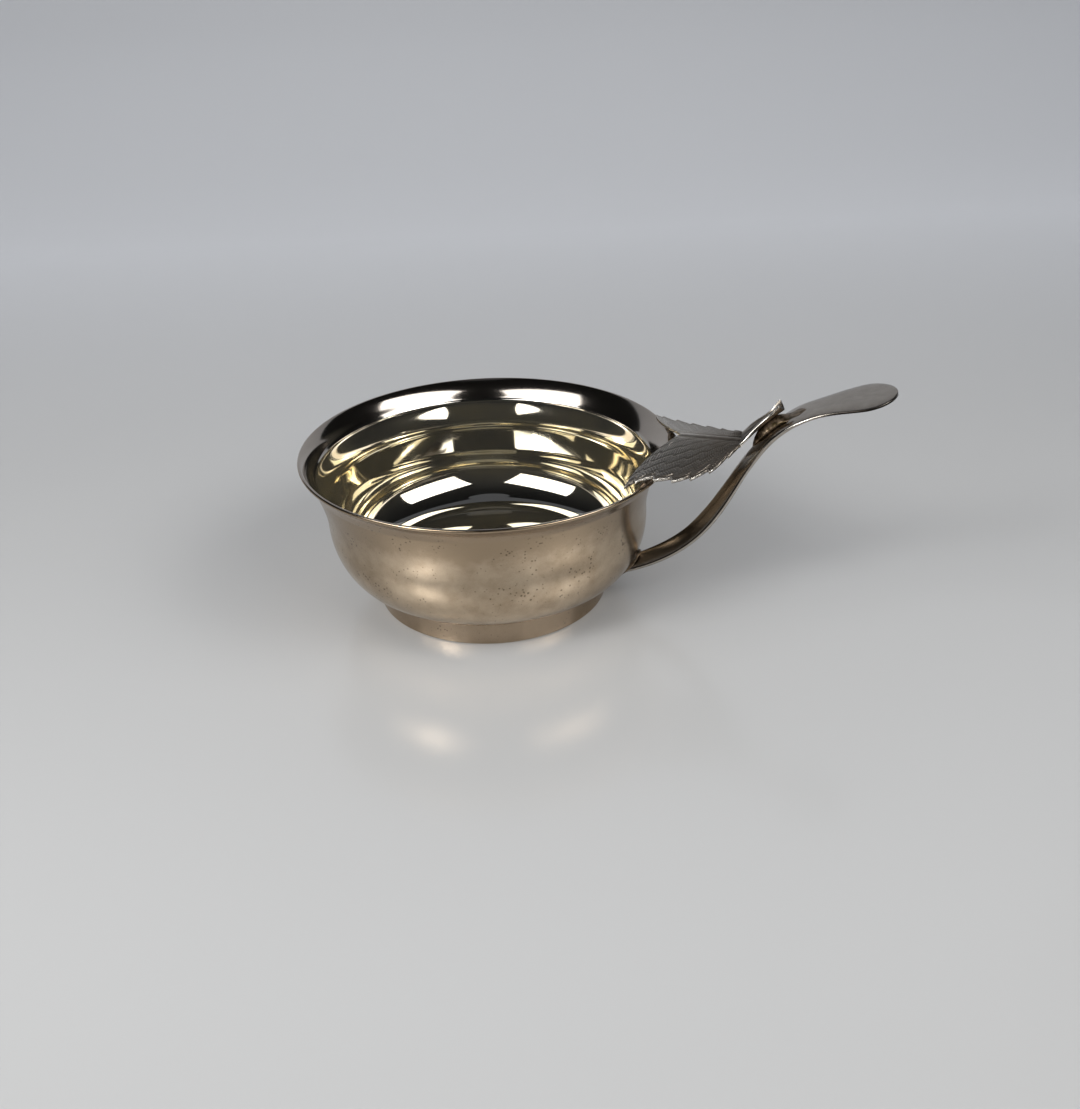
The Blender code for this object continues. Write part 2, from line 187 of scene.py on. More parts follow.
class DishFinishes(PropertyGroup):
    """Colours of the silver's finishes."""

    polished: colour("Polished", "Polished silver inside the bowl", "E9E6DE")
    yellowed: colour("Yellowed", "Thin tarnish on the bowl's inner wall", "CFC5A8")
    lip: colour("Lip", "Greyer silver of the lip, worn by wiping", "BFB6AC")
    satin: colour("Satin", "Worn satin silver outside the bowl", "C6B49C")
    # The dulled colour also paints the shade under the bowl's lip.
    dulled_and_shade: colour("Dulled", "Duller patches of bowl and foot", "A8957D")
    # The pits colour also paints shade in the corner over the foot.
    pits: colour("Pits", "Dirt in the small pits and at the foot's joint", "4A3D30")
    foot: colour("Foot", "Worn silver of the foot", "B5A28C")
    forged: colour("Forged", "Strap and thumb piece", "B0A89E")
    # The strap's dark colour also paints its dark reflections and shade.
    dirt_and_shade: colour("Dirt", "Dirt and tarnish on the strap", "2A2520")
    # The shadowed colour also paints the shade inside the stalk's channel.
    shadowed: colour("Shadowed", "Tarnish in the hollows of the leaf", "4B443C")
    oxidised: colour("Oxidised", "Darkened silver of the leaf", "968D82")
    # This colour also paints highlights and the pale reflection along the strap's lower corner.
    worn_edge_and_highlight: colour("Worn edge", "Bright worn edges of strap and leaf", "D8D2C8")
    solder: colour("Solder", "Hard solder", "8F7D6A")
    solder_stain: colour("Solder stain", "Green and brown stains on the solder", "50452F")


class DishStageSettings(PropertyGroup):
    """Camera, table and surround."""

    focal: number("Focal length", "Focal length in pixels of the photograph's frame", 1200)
    distance: length("Distance", "Camera to the bowl's axis on the table", 342.4 * MM)
    elevation: degrees("Elevation", "Camera above the table", 30.19)
    turn: degrees("Turn", "Camera's turn about the bowl's axis", 18)
    roll: degrees("Roll", "Camera's roll", 3.246)
    axis_column: number("Axis column", "Pixel column of the bowl's axis on the table", 493.84)
    axis_row: number("Axis row", "Pixel row of the bowl's axis on the table", 582.93)
    floor: colour("Floor", "Pale table", "D3D3D2")
    surround: colour("Surround", "Pale surround", "C9CDD6")


def step_up(low, high, value):
    """0 up to low, 1 from high on, and an S-shaped rise between."""
    part = np.clip((value - low) / (high - low), 0, 1)
    return part * part * (3 - 2 * part)


def step_down(low, high, value):
    """1 up to low, 0 from high on, and an S-shaped fall between."""
    return 1 - step_up(low, high, value)


def hump(centre, half_width, value):
    """A bell curve of height 1."""
    return np.exp(-(((value - centre) / half_width) ** 2))


def signed_power(value, power):
    """The size of a value raised to a power, with the value's sign."""
    return np.sign(value) * np.abs(value) ** power


def unit(vectors):
    """Vectors along the last axis, made 1 long."""
    return vectors / np.maximum(np.linalg.norm(vectors, axis=-1, keepdims=True), 1e-12)


def grid_faces(shape, around):
    """Quads of a grid of points of this shape; with around, the last column joins the first."""
    rows, columns = shape[:2]
    row = np.arange(rows - 1)[:, None]
    column = np.arange(columns if around else columns - 1)[None, :]
    beside = (column + 1) % columns
    low = row * columns
    high = low + columns
    return np.stack([low + column, low + beside, high + beside, high + column], -1).reshape(-1, 4)


def new_object(name, points, faces, materials, smooth=True):
    """A mesh object at the origin."""
    mesh = bpy.data.meshes.new(name)
    mesh.from_pydata(points.reshape(-1, 3), [], faces)
    mesh.polygons.foreach_set("use_smooth", np.full(len(mesh.polygons), smooth))
    for material in materials:
        mesh.materials.append(material)
    thing = bpy.data.objects.new(name, mesh)
    bpy.context.scene.collection.objects.link(thing)
    return thing


def new_piece(name, node, slot, points, faces, materials, face_material=None, **attributes):
    """A smooth object with its poles merged and one float attribute per keyword.

    It rides on the dish and hides its CAD node; the slot it is given is not used.
    """
    piece = new_object(name, points, faces, materials)
    mesh = piece.data
    for key, values in attributes.items():
        layer = mesh.attributes.new(key, "FLOAT", "POINT")
        layer.data.foreach_set("value", np.ascontiguousarray(values, np.float32).ravel())
    if face_material is not None:
        mesh.polygons.foreach_set("material_index", face_material.astype(np.int32))
    shape = bmesh.new()
    shape.from_mesh(mesh)
    bmesh.ops.remove_doubles(shape, verts=shape.verts, dist=1e-7)
    shape.to_mesh(mesh)
    shape.free()
    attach(piece, "root")
    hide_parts(node)


def full_turn(steps):
    """Angles once round a circle."""
    return np.linspace(0, 2 * np.pi, steps, endpoint=False)


def turned(outline):
    """An outline of radius and height turned about the bowl's axis: (r cos a, r sin a, z)."""
    radius, height = outline.T
    angle = full_turn(AROUND)
    across = radius[:, None] * np.cos(angle) + AXIS_X
    along = radius[:, None] * np.sin(angle)
    return np.stack([across, along, np.repeat(height[:, None], AROUND, 1)], -1)


def cubic(start, end, slope_start, slope_end, part):
    """The cubic with these end values and end slopes, where part runs from 0 to 1."""
    rise = (end - start) * (3 * part**2 - 2 * part**3)
    leave = slope_start * (part - 2 * part**2 + part**3)
    return start + rise + leave + slope_end * (part**3 - part**2)


def bowl_side(sizes, side):
    """Radius and height along one side of the bowl's sheet, 1 outside or -1 inside, from axis to rim.

    A flat bottom, a quarter ellipse out to the belly, a straight wall up to the neck, upright outside and
    leaning in inside, a cubic that leans out 20 degrees at the crease, and the lip, a cubic that leans out
    from 31 degrees at the crease to 52 degrees at the rim.
    """
    half = side * sizes.sheet / 2
    below_crease, above_crease = np.tan(np.radians([20, 31]))
    flare = np.radians(52)
    inward, bottom, corner, narrow = 0, sizes.foot_height, sizes.corner_outside, sizes.neck_height
    if side < 0:
        inward, bottom = np.tan(sizes.lean), sizes.foot_height + sizes.sheet
        corner, narrow = sizes.corner_inside, sizes.neck_inside
    neck, crease = sizes.neck_radius + half, sizes.crease_radius + half
    belly = neck + inward * (narrow - bottom - corner)
    rim = sizes.rim_radius - sizes.sheet / 2 + half * np.cos(flare)
    top = sizes.rim_height - sizes.sheet / 2 - half * np.sin(flare)

    flat = np.linspace(0, sizes.base_radius, 20, endpoint=False)
    angle = np.linspace(np.pi / 2, 0, 60, endpoint=False)
    wall = np.linspace(0, 1, 12, endpoint=False)
    part = np.linspace(0, 1, 40)
    flared, lipped = sizes.crease_height - narrow, top - sizes.crease_height
    radius = np.concatenate([
        flat,
        sizes.base_radius + (belly - sizes.base_radius) * np.cos(angle),
        belly + (neck - belly) * wall,
        cubic(neck, crease, -inward * flared, below_crease * flared, part[:-1]),
        cubic(crease, rim, above_crease * lipped, np.tan(flare) * lipped, part),
    ])
    height = np.concatenate([
        flat * 0 + bottom,
        bottom + corner * (1 - np.sin(angle)),
        bottom + corner + (narrow - bottom - corner) * wall,
        narrow + flared * part[:-1],
        sizes.crease_height + lipped * part,
    ])
    return np.stack([radius, height], -1)


def wall_radius(sizes, height, clearance):
    """Radius of the bowl's outside at heights below the neck, moved out along its normal by a clearance."""
    line = bowl_side(sizes, 1)
    line = line[(line[:, 0] > sizes.base_radius - MM) & (line[:, 1] < sizes.neck_height)]
    along = unit(np.gradient(line, axis=0))
    line = line + clearance * np.stack([along[:, 1], -along[:, 0]], -1)
    return np.interp(height, line[:, 1], line[:, 0])


def bowl_profile(sizes):
    """Outside from the axis to the rim, a half round over the edge, then the inside back to the axis."""
    outside = bowl_side(sizes, 1)
    inside = bowl_side(sizes, -1)
    inside[:, 0] -= sizes.crease_ridge * hump(sizes.crease_height, 0.4 * MM, inside[:, 1])
    centre = (outside[-1] + inside[-1]) / 2
    across = outside[-1] - centre
    beyond = np.array([-across[1], across[0]])
    angle = np.linspace(0, np.pi, 14)[1:-1, None]
    edge = centre + across * np.cos(angle) + beyond * np.sin(angle)
    return np.concatenate([outside, edge, inside[::-1]])


def rounded(corners, radius, count):
    """A closed outline whose corners are replaced by quadratic curves that start a radius before each."""
    corners = np.array(corners)
    before = corners + radius * unit(np.roll(corners, 1, 0) - corners)
    after = corners + radius * unit(np.roll(corners, -1, 0) - corners)
    part = np.linspace(0, 1, count)[None, :, None]
    curve = before[:, None] * (1 - part) ** 2 + corners[:, None] * 2 * part * (1 - part)
    return (curve + after[:, None] * part**2).reshape(-1, 2)


def closed_ring(outline):
    """A closed outline turned about the bowl's axis."""
    return turned(np.concatenate([outline, outline[:1]]))


def heading(angle):
    """Direction in the handle's upright plane, at an angle above level."""
    return np.array([np.cos(angle), 0, np.sin(angle)])


def strap_line(bowl, strap, fractions):
    """Points and top normals along the strap, at fractions of its length.

    The line is three cubic curves through the root, the sweep, the crown and the tip. Each of these has a
    slope and two reaches, which say how far the line keeps to that slope before and after it.
    """
    root = np.array([strap.root_reach, 0, strap.root_height]) - 3 * MM * heading(ROOT_SLOPE)
    rim, top = bowl.rim_radius, bowl.rim_height
    sweep = np.array([rim + 0.312 * strap.reach, 0, top - 0.212 * strap.rise])
    crown = np.array([rim + 0.6 * strap.reach, 0, top + 0.68 * strap.rise])
    tip = np.array([rim + strap.reach, 0, top + strap.rise])
    knots = [
        (root, ROOT_SLOPE, 0, 0.44),
        (sweep, np.radians(63.5), 0.32, 0.44),
        (crown, np.radians(28), 0.29, 0.30),
        (tip, np.radians(14), 0.30, 0),
    ]
    part = np.linspace(0, 1, 200)[:, None]
    runs = []
    for (start, out, _, reach_out), (end, arrive, reach_in, _) in zip(knots, knots[1:]):
        span = np.linalg.norm(end - start)
        first = start + reach_out * span * heading(out)
        second = end - reach_in * span * heading(arrive)
        run = start * (1 - part) ** 3 + first * 3 * part * (1 - part) ** 2
        runs.append(run + second * 3 * part**2 * (1 - part) + end * part**3)
    line = np.concatenate([runs[0], runs[1][1:], runs[2][1:]])
    travel = np.concatenate([[0], np.cumsum(np.linalg.norm(np.diff(line, axis=0), axis=1))])
    along = unit(np.gradient(line, travel, axis=0))
    wanted = np.asarray(fractions) * travel[-1]
    point = np.stack([np.interp(wanted, travel, line[:, i]) for i in range(3)], -1)
    direction = unit(np.stack([np.interp(wanted, travel, along[:, i]) for i in range(3)], -1))
    normal = np.stack([-direction[..., 2], 0 * direction[..., 0], direction[..., 0]], -1)
    return point + np.array([AXIS_X, 0, 0]), normal


def strap_taper(strap, fraction):
    """Size of the bar as a share of the full bar: it swells from the root to 0.35 of the length."""
    return strap.root_taper + (1 - strap.root_taper) * step_up(0, 0.35, fraction)


def strap_thickness(strap, fraction):
    """The tapered bar's thickness, which thins to the thumb piece's between 0.55 and 0.8 of the length."""
    thinned = (strap.thumb_thickness - strap.thickness) * step_up(0.55, 0.8, fraction)
    return strap_taper(strap, fraction) * strap.thickness + thinned


def strap_ridge(strap, fraction):
    """The tapered ridge's height, which runs out between 0.4 and 0.72 of the length."""
    return strap_taper(strap, fraction) * strap.ridge * step_down(0.4, 0.72, fraction)


def root_swell(fraction):
    """Extra height of the bar's top: 1.1 mm at the root, 0.2 mm further out and none past the bar."""
    return (0.2 + 0.9 * step_down(0.1, 0.3, fraction)) * step_down(0.35, 0.55, fraction) * MM


def strap_wear(fraction, angle):
    """How light the strap is painted, at fractions of its length and angles round its section.

    Most of it is painted reflection and shade. The bar's domed top is painted dark, as dark surroundings
    reflected, and lighter past the root; a black line of painted reflection follows the corner under the
    dome, and the corner itself and the top's edge are painted paler, as pale table and surround reflected.
    The thumb piece is clean, with a painted highlight on its edge at the neck and a dark painted reflection
    further out.
    """
    height = np.sin(angle)[None]
    along = fraction[:, None]
    bar = step_down(0.5, 0.68, along)
    root = step_down(0.12, 0.3, along)
    # Painted reflection and shade: the dome is painted dark with a black line along its lower corner; its
    # top is painted paler.
    domed = -0.5 - 0.2 * step_up(0.12, 0.4, height) - 2.0 * hump(0.1, 0.09, height)
    domed = domed + (0.55 + 0.25 * root) * step_up(0.55 + 0.35 * (1 - root), 1, height)
    # Painted reflection: the lower corner is painted pale, and the dome lighter past the root.
    domed = domed + (1.2 - 0.5 * root) * hump(-0.15, 0.18, height)
    domed = domed + 0.6 * step_up(0.2, 0.34, along) * step_up(0.2, 0.4, height)
    # Painted highlight on the thumb piece's edge at the neck, and painted dark reflection along its lower
    # edge further out.
    edge = 1.3 * hump(0.16, 0.12, height) * hump(0.72, 0.09, along)
    thumb = edge - 1.8 * step_down(0.12, 0.3, height) * step_up(0.78, 0.84, along)
    return bar * domed + (1 - bar) * thumb


def bar_outline(angle):
    """A unit outline between an ellipse and a box: |cos|^0.55 across and |sin|^0.75 up."""
    return signed_power(np.cos(angle), 0.55), signed_power(np.sin(angle), 0.75)


def strap_surface(bowl, strap, rows, sides):
    """A half-round bar carried along the strap's line, which flattens into the thumb piece.

    The half-round section is a sine dome over a flat underside with soft corners. The flat section is the
    unit outline with a ridge (1 - (side / half)^2)^2 high on its top. Points inside the wall are moved out
    onto it. The second result is each point's tone, mostly painted reflection and shade.
    """
    strap_length = 93.6 * MM
    round_part = strap.thumb_round / strap_length
    body = np.linspace(0, 1 - round_part, rows)
    turn = np.linspace(0, np.pi / 2, 40)[1:]
    fraction = np.concatenate([body, 1 - round_part * (1 - np.sin(turn))])
    closing = np.concatenate([np.ones(rows), np.cos(turn)])
    point, normal = strap_line(bowl, strap, fraction)
    taper = strap_taper(strap, fraction)
    width = strap.width * taper
    width += (strap.neck_width - strap.width) * step_up(0.5, 0.75, fraction)
    width += (strap.thumb_width - strap.neck_width) * step_up(0.79, 0.93, fraction)
    ridge_half = strap.width / 2 * taper * (1 - 0.7 * step_up(0.5, 0.72, fraction))
    angle = 2 * np.pi * (np.arange(sides) + 0.5) / sides
    across, up = bar_outline(angle)
    half = strap_thickness(strap, fraction) / 2
    flat_side = across[None] * (width / 2 * closing)[:, None]
    flat_rise = up[None] * (half * (0.55 + 0.45 * closing))[:, None]
    flat_rise *= (closing > 1e-6)[:, None]
    ridge = np.clip(1 - (flat_side / ridge_half[:, None]) ** 2, 0, 1) ** 2 * (up > 0)
    flat_rise += strap_ridge(strap, fraction)[:, None] * ridge
    lower = half + strap.keel * step_down(0.3, 0.55, fraction)
    upper = half + strap_ridge(strap, fraction) + root_swell(fraction)
    corner = 0.22 * (lower + upper)
    dome = np.clip(np.sin(angle), 0, 1) ** 1.35 * (lower + upper - corner)[:, None]
    floor = np.clip(-np.sin(angle), 0, 1) ** 0.6 * corner[:, None]
    round_rise = dome - floor + (corner - lower)[:, None]
    round_across = signed_power(np.cos(angle), np.where(np.sin(angle) > 0, 1.35, 0.45))
    round_side = round_across[None] * (width / 2 * closing)[:, None]
    forged = step_down(0.5, 0.74, fraction)[:, None]
    side = round_side * forged + flat_side * (1 - forged)
    rise = round_rise * forged + flat_rise * (1 - forged)
    points = point[:, None] + side[..., None] * SIDEWAYS + rise[..., None] * normal[:, None]
    out = np.hypot(points[..., 0] - AXIS_X, points[..., 1])
    wall = wall_radius(bowl, points[..., 2], PIECE_GAP)
    push = np.where(points[..., 2] < bowl.neck_height, np.maximum(wall / np.maximum(out, MM), 1), 1)
    points[..., 0] = AXIS_X + (points[..., 0] - AXIS_X) * push
    points[..., 1] *= push
    return points, strap_wear(fraction, angle)


def stalk_line(bowl, strap, leaf, part):
    """Points and normals along the stalk: part is 0 at the blade and 1 at the free end."""
    fraction = leaf.stalk_start + (leaf.stalk_end - leaf.stalk_start) * part
    point, normal = strap_line(bowl, strap, fraction)
    lift = strap_thickness(strap, fraction) / 2 + strap_ridge(strap, fraction)
    lift = lift + 2 * PIECE_GAP + leaf.pad + leaf.sheet / 2
    lift = lift + leaf.stalk_rise * (1 - part) ** 3 + leaf.stalk_lift * part**3
    return point + normal * lift[..., None], normal


def stalk_half_width(leaf, part):
    """Half the stalk's width: it narrows from the blade to the waist, then widens to the open end."""
    narrowed = leaf.stalk_width + (leaf.stalk_waist - leaf.stalk_width) * step_up(0, 0.75, part)
    return (narrowed + (leaf.stalk_mouth - leaf.stalk_waist) * step_up(0.75, 1, part)) / 2


def leaf_fall(bowl, leaf, along, side):
    """How far the blade hangs below its crest: steeper outside the rim than over it."""
    outside = step_up(bowl.rim_radius - leaf.rise, bowl.rim_radius + leaf.rise, along)
    return (leaf.fall + leaf.fold * outside) * (np.hypot(side, leaf.crest) - leaf.crest)


def leaf_relief(leaf, part, out, side):
    """Height of the chased relief on the blade, and how worn it is.

    Fine lines leave the crest and sweep towards the lobes: they are lines of equal u - 1.45 |v|^0.9 with a
    slight wave, every fifth one deeper. A rib with a groove on each side runs along the crest, and a groove
    follows the edge.
    """
    sweep = part - 1.45 * out**0.9 + 0.014 * np.sin(7 * out + 5 * part)
    fade = step_up(0.03, 0.12, out) * step_up(0.0, 0.06, part)
    line = np.clip(np.cos(2 * np.pi * sweep / 0.05), 0, 1) ** 2
    deep = np.clip(np.cos(2 * np.pi * sweep / 0.25), 0, 1) ** 10
    rib = 0.6 * hump(0, 0.6 * MM, side) - 0.5 * hump(1.2 * MM, 0.35 * MM, np.abs(side))
    edge = hump(0.94, 0.02, out)
    relief = leaf.vein * (1.5 * rib - fade * (0.7 * line + 0.6 * deep) - 0.7 * edge)
    wear = 0.45 * fade + 0.6 * rib - fade * (0.75 * line + 0.4 * deep) - 0.9 * edge
    return relief, wear


def leaf_surface(bowl, strap, leaf, stalk_rows, blade_rows, columns):
    """The leaf's middle surface, its relief and its wear with painted shade in the stalk's channel, on rows
    from the stalk's free end to the lobes.

    The stalk follows the strap and is a channel that flares at its end. On the blade, v runs across from
    edge to edge and u from the stalk to the lobes. The edge swells to a shoulder with 1 - (1 - u)^3.6,
    carries five teeth, each a long ramp and a short one, and runs out to the lobe's tip with u^9.
    """
    teeth = 5
    across = np.linspace(-1, 1, columns)
    across = np.sign(across) * (1 - (1 - np.abs(across)) ** 1.15)
    out = np.abs(across)[None]

    part = np.linspace(1, 0, stalk_rows, endpoint=False)
    point, normal = stalk_line(bowl, strap, leaf, part)
    side = stalk_half_width(leaf, part)[:, None] * across
    fall = leaf_fall(bowl, leaf, point[:, :1] - AXIS_X, side) * step_down(0, 0.5, part)[:, None]
    crown = 0.9 * leaf.stalk_channel
    curl = leaf.stalk_channel * (0.9 + 0.1 * part + 0.7 * step_up(0.8, 1, part))
    channel = curl[:, None] * across**2
    stalk = point[:, None] + side[..., None] * SIDEWAYS
    stalk = stalk + (channel - fall)[..., None] * normal[:, None]
    fluting = np.cos(across * 3.5 * np.pi)[None]
    groove = fluting * 0.35 * leaf.vein * step_up(0, 0.3, part)[:, None]

    base, _ = stalk_line(bowl, strap, leaf, np.zeros(1))
    base_reach, base_height = base[0, 0] - AXIS_X, base[0, 2]
    part = np.linspace(0, 1, blade_rows)[:, None]
    reach = bowl.rim_radius - leaf.lobe_inset
    tip_along, tip_side = reach * np.cos(leaf.lobe_angle), reach * np.sin(leaf.lobe_angle)
    start = stalk_half_width(leaf, np.zeros(1))[0]
    tooth = np.clip((part * 42 - 4) / 7, 0, teeth)
    ramp = np.where(tooth % 1 < 0.88, (tooth % 1) / 0.88, (1 - tooth % 1) / 0.12)
    toothed = (tooth > 0) & (tooth < teeth)
    half = leaf.shoulder / 2
    swell = 1 - (1 - part) ** 3.6
    edge_side = start + (half - start) * swell + (tip_side - half) * part**9
    edge_side = edge_side + leaf.tooth * np.where(toothed, ramp - 0.6, 0)
    edge_along = base_reach + (tip_along - base_reach) * part
    notch = bowl.rim_radius + leaf.notch
    middle = base_reach + (notch - base_reach) * part
    along = middle + (edge_along - middle) * out - leaf.lobe_bow * 4 * out * (1 - out) * part**3
    side_blade = edge_side * across
    crest = bowl.rim_height + leaf.rise
    height = crest + (base_height - crest) * (along - notch) / (base_reach - notch)
    height = height - leaf_fall(bowl, leaf, along, side_blade)
    height = height + crown * step_down(0, 0.22, part) * np.clip(side_blade / start, -1, 1) ** 2
    curl = np.where(toothed, ramp - 0.5, 0) * step_up(0.85, 1, out)
    blade = np.stack([along + AXIS_X, side_blade, height + 0.25 * MM * curl], -1)
    relief, wear = leaf_relief(leaf, part, out, side_blade)
    plain_edge = 0.5 - step_up(0.6, 0.9, part)
    wear = wear + 1.3 * step_up(0.965, 1, out) * np.where(toothed, ramp, plain_edge) + 1.4 * (part - 0.38)
    down = np.linspace(1, 0, stalk_rows)[:, None]
    stalk_wear = 0.4 * fluting * step_up(0, 0.3, down) + 1.4 * step_up(0.8, 1, out)
    # Painted shade: the middle of the stalk's channel is painted dark, most at its open end.
    hollow = 0.7 + 0.9 * step_up(0.72, 0.9, down)
    stalk_wear = stalk_wear - hollow * step_down(0.5, 0.8, out)
    points = np.concatenate([stalk, blade])
    return points, np.concatenate([groove, relief]), np.concatenate([stalk_wear, wear])


def sheet_faces(shape):
    """Quads of two stacked grids and of the strip that joins their edges."""
    rows, columns = shape[:2]
    count = rows * columns
    top = grid_faces(shape, False)
    under = top[:, ::-1] + count
    index = np.arange(count).reshape(rows, columns)
    border = np.concatenate([index[0, :-1], index[:-1, -1], index[-1, :0:-1], index[:0:-1, 0]])
    following = np.roll(border, -1)
    strip = np.stack([following, border, border + count, following + count], -1)
    return np.concatenate([top, under, strip])


def bead(line, radius, sides, closed):
    """A round section of changing radius carried along a line of points, closed or with shut ends."""
    if closed:
        along = unit(np.roll(line, -1, 0) - np.roll(line, 1, 0))
    else:
        along = unit(np.gradient(line, axis=0))
    across = unit(np.cross(along, [0, 0, 1.0]))
    up = np.cross(across, along)
    angle = full_turn(sides)
    ring = across[:, None] * np.cos(angle)[None, :, None] + up[:, None] * np.sin(angle)[None, :, None]
    points = line[:, None] + ring * radius[:, None, None]
    return np.concatenate([points, points[:1]]) if closed else points


def lumps(values, size):
    """Unevenness of run solder: a sum of sines that don't repeat together."""
    return size * (np.sin(values) + 0.6 * np.sin(2.3 * values + 1.1) + 0.4 * np.sin(4.1 * values + 2.7))


def foot_fillet(bowl):
    """A hollow quarter-round fillet turned in the corner between foot and bowl, its face uneven."""
    outer = bowl.foot_radius - bowl.foot_wall - PIECE_GAP
    top = bowl.foot_height - PIECE_GAP
    size = 1.5 * MM
    angle = np.linspace(0, np.pi / 2, 12)
    face = np.stack([outer - size * (1 - np.sin(angle)), top - size * (1 - np.cos(angle))], -1)
    points = closed_ring(np.concatenate([[[outer, top]], face]))
    uneven = np.sin(np.linspace(0, np.pi, len(face)))[:, None]
    points[1:-1, :, 2] += lumps(full_turn(AROUND) * 17, 0.06 * MM) * uneven
    return points


def root_bead(bowl, strap):
    """A bead round the strap's root, lying in the corner between bar and wall.

    Its line is the bar's outline, carried along the bar's slope until it meets the wall. The wall's radius
    depends on the height where they meet, so the place is worked out again until it settles.
    """
    clear = 0.5 * MM
    near_root = 0.12
    size = strap_taper(strap, near_root)
    angle = full_turn(120)
    across, rise = bar_outline(angle + 1e-3)
    side = across * (size * strap.width / 2 + clear)
    top = size * strap.ridge + root_swell(near_root)
    lift = rise * (size * strap.thickness / 2 + clear) + top * np.maximum(rise, 0)
    start = strap.root_reach - np.sin(ROOT_SLOPE) * lift
    level = strap.root_height + np.cos(ROOT_SLOPE) * lift
    height = level
    for _ in range(12):
        reach = np.sqrt(wall_radius(bowl, height, clear) ** 2 - side**2)
        height = level + (reach - start) * np.tan(ROOT_SLOPE)
    line = np.stack([reach + AXIS_X, side, height], -1)
    return bead(line, 0.34 * MM + lumps(angle * 5, 0.03 * MM), 20, True)


def lobe_bead(bowl, leaf, side):
    """A bead along the rim under one lobe, thin at its ends, and fat towards the notch on the back lobe."""
    part = np.linspace(0, 1, 80)
    back = side > 0
    angle = side * leaf.lobe_angle * (0.4 - 0.18 * back + (0.5 + 0.18 * back) * part)
    reach = bowl.rim_radius - bowl.sheet / 2
    fat = 0.7 * back * hump(0.2, 0.22, part)
    radius = (0.16 + 0.42 * np.sin(np.pi * part) ** 0.7 + fat) * MM + lumps(part * 19, 0.06 * MM)
    radius[[0, -1]] = 0
    height = bowl.rim_height + 0.1 * MM + radius
    line = np.stack([reach * np.cos(angle) + AXIS_X, reach * np.sin(angle), height], -1)
    return bead(line, radius, 18, False)


def stalk_run(bowl, strap, leaf):
    """Solder that fills the space between strap and stalk and runs out thin past the stalk's end.

    An oval section carried along the strap: its top follows the stalk's underside, its foot the strap.
    """
    first, last = 0.02, 1.42
    sunk, film = 0.25 * MM, 0.45 * MM
    part = np.linspace(first, last, 110)
    fraction = leaf.stalk_start + (leaf.stalk_end - leaf.stalk_start) * part
    point, normal = strap_line(bowl, strap, fraction)
    foot = strap_thickness(strap, fraction) / 2 + strap_ridge(strap, fraction) - sunk
    full = 2 * PIECE_GAP + leaf.pad + leaf.stalk_rise * np.clip(1 - part, 0, 1) ** 3 + film
    past = step_up(0.82, 1.06, part)
    ends = np.clip((part - first) / 0.4, 0, 1) ** 0.8 * np.clip((last - part) / 0.2, 0, 1) ** 0.5
    tall = (full * (1 - past) + film * past) * ends
    wide = (2.0 * MM + 0.4 * MM * step_up(0.5, 1.15, part) + lumps(part * 17, 0.05 * MM)) * ends
    angle = full_turn(40)
    across, up = np.cos(angle), np.sin(angle)
    lift = foot[:, None] + tall[:, None] * (0.5 + 0.5 * up)
    points = point[:, None] + lift[..., None] * normal[:, None]
    points[..., 1] += wide[:, None] * across * (1 - 0.55 * up)
    return points


def feed(node, inputs):
    """Links each named or numbered input of a node to an output, or sets its value."""
    for name, source in inputs.items():
        if isinstance(source, bpy.types.NodeSocket):
            node.id_data.links.new(source, node.inputs[name])
        else:
            node.inputs[name].default_value = source


def add_node(tree, kind, inputs=None, output=0, **settings):
    """Adds a shader node, sets its settings, feeds its inputs and returns one of its outputs.

    A Map Range's inputs 0 to 4 are the value, the ends of its range and what those become. A Mix's inputs
    0, 6 and 7 are the share and the two colours.
    """
    node = tree.nodes.new("ShaderNode" + kind)
    for name, value in settings.items():
        setattr(node, name, value)
    feed(node, inputs or {})
    return node.outputs[output]


def per_mm(size):
    """Texture scale whose features are about this many millimetres."""
    return 1 / (size * MM)


def new_material(name):
    """A material, the function that adds its nodes, its shader and its Object coordinates."""
    material = bpy.data.materials.new(name)
    material.use_nodes = True
    tree = material.node_tree
    add = partial(add_node, tree)
    return material, add, tree.nodes["Principled BSDF"], add("TexCoord", output="Object")


